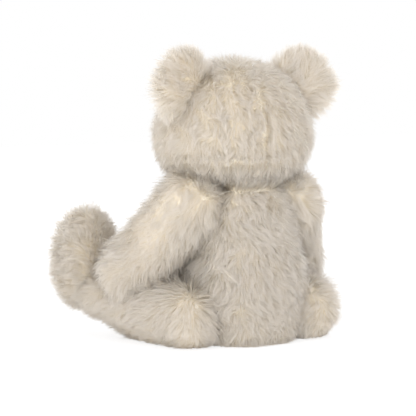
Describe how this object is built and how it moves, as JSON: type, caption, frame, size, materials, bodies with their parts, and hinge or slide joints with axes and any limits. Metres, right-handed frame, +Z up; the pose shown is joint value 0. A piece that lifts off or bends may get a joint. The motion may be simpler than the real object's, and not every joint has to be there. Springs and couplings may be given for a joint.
{
  "type": "jointed plush bear",
  "caption": "Sitting long-pile plush bear with panelled covers over stuffing, round ears, a pellet bag in the seat and disc joints at neck, arms and legs.",
  "frame": {"origin": "point of the flat seat that the bear sits on, in its mid plane and just behind the hip joints", "axes": "+Z up, -Y the way the bear faces, +X to the bear's own left"},
  "size_m": [0.2674, 0.1801, 0.2633],
  "materials": {
    "ivory_pile": "long ivory-white pile",
    "ivory_suede": "short-napped cream suede cloth",
    "fibre_fill": "loose white polyester fibre",
    "pellet_bag": "plain woven cotton bag filled with plastic pellets",
    "black_plastic": "polished moulded plastic",
    "white_plastic": "moulded natural polypropylene",
    "brown_thread": "stranded embroidery thread"
  },
  "bodies": {
    "torso": {"torso_seat_panel": "ivory_pile", "torso_back_left": "ivory_pile", "torso_back_right": "ivory_pile", "torso_belly_left": "ivory_pile", "torso_belly_right": "ivory_pile", "torso_stuffing": "fibre_fill", "pellet_bag": "pellet_bag", "neck_washer": "white_plastic", "arm_left_washer": "white_plastic", "arm_right_washer": "white_plastic", "leg_left_washer": "white_plastic", "leg_right_washer": "white_plastic"},
    "head": {"head_back_left": "ivory_pile", "head_back_right": "ivory_pile", "head_nape_left": "ivory_pile", "head_nape_right": "ivory_pile", "head_face_panel": "ivory_pile", "muzzle_cover": "ivory_pile", "ear_left_back": "ivory_pile", "ear_left_front": "ivory_pile", "ear_right_back": "ivory_pile", "ear_right_front": "ivory_pile", "head_stuffing": "fibre_fill", "eye_left": "black_plastic", "eye_right": "black_plastic", "nose": "black_plastic", "eye_left_washer": "white_plastic", "eye_right_washer": "white_plastic", "nose_washer": "white_plastic", "mouth_stitches": "brown_thread", "neck_joint_disc": "white_plastic", "neck_lock_ring": "white_plastic"},
    "arm_left": {"arm_left_outer": "ivory_pile", "arm_left_inner": "ivory_pile", "arm_left_stuffing": "fibre_fill", "paw_pad_left": "ivory_suede", "arm_left_joint_disc": "white_plastic", "arm_left_lock_ring": "white_plastic"},
    "leg_left": {"leg_left_outer": "ivory_pile", "leg_left_inner": "ivory_pile", "leg_left_stuffing": "fibre_fill", "sole_pad_left": "ivory_suede", "leg_left_joint_disc": "white_plastic", "leg_left_lock_ring": "white_plastic"},
    "arm_right": {"arm_right_outer": "ivory_pile", "arm_right_inner": "ivory_pile", "arm_right_stuffing": "fibre_fill", "paw_pad_right": "ivory_suede", "arm_right_joint_disc": "white_plastic", "arm_right_lock_ring": "white_plastic"},
    "leg_right": {"leg_right_outer": "ivory_pile", "leg_right_inner": "ivory_pile", "leg_right_stuffing": "fibre_fill", "sole_pad_right": "ivory_suede", "leg_right_joint_disc": "white_plastic", "leg_right_lock_ring": "white_plastic"}
  },
  "joints": [
    {"name": "neck_turn", "type": "hinge", "parent": "torso", "child": "head", "pos_m": [0, -0.024, 0.149], "axis": [0, 0, 1], "continuous": true},
    {"name": "arm_left_raise", "type": "hinge", "parent": "torso", "child": "arm_left", "pos_m": [0.031, -0.014, 0.119], "axis": [-0.9135, 0, -0.4067], "range_deg": [0, 35]},
    {"name": "arm_right_raise", "type": "hinge", "parent": "torso", "child": "arm_right", "pos_m": [-0.031, -0.014, 0.119], "axis": [-0.9135, 0, 0.4067], "range_deg": [0, 35]},
    {"name": "leg_left_lower", "type": "hinge", "parent": "torso", "child": "leg_left", "pos_m": [0.038, -0.004, 0.025], "axis": [1, 0, 0], "range_deg": [0, 90]},
    {"name": "leg_right_lower", "type": "hinge", "parent": "torso", "child": "leg_right", "pos_m": [-0.038, -0.004, 0.025], "axis": [1, 0, 0], "range_deg": [0, 90]}
  ]
}
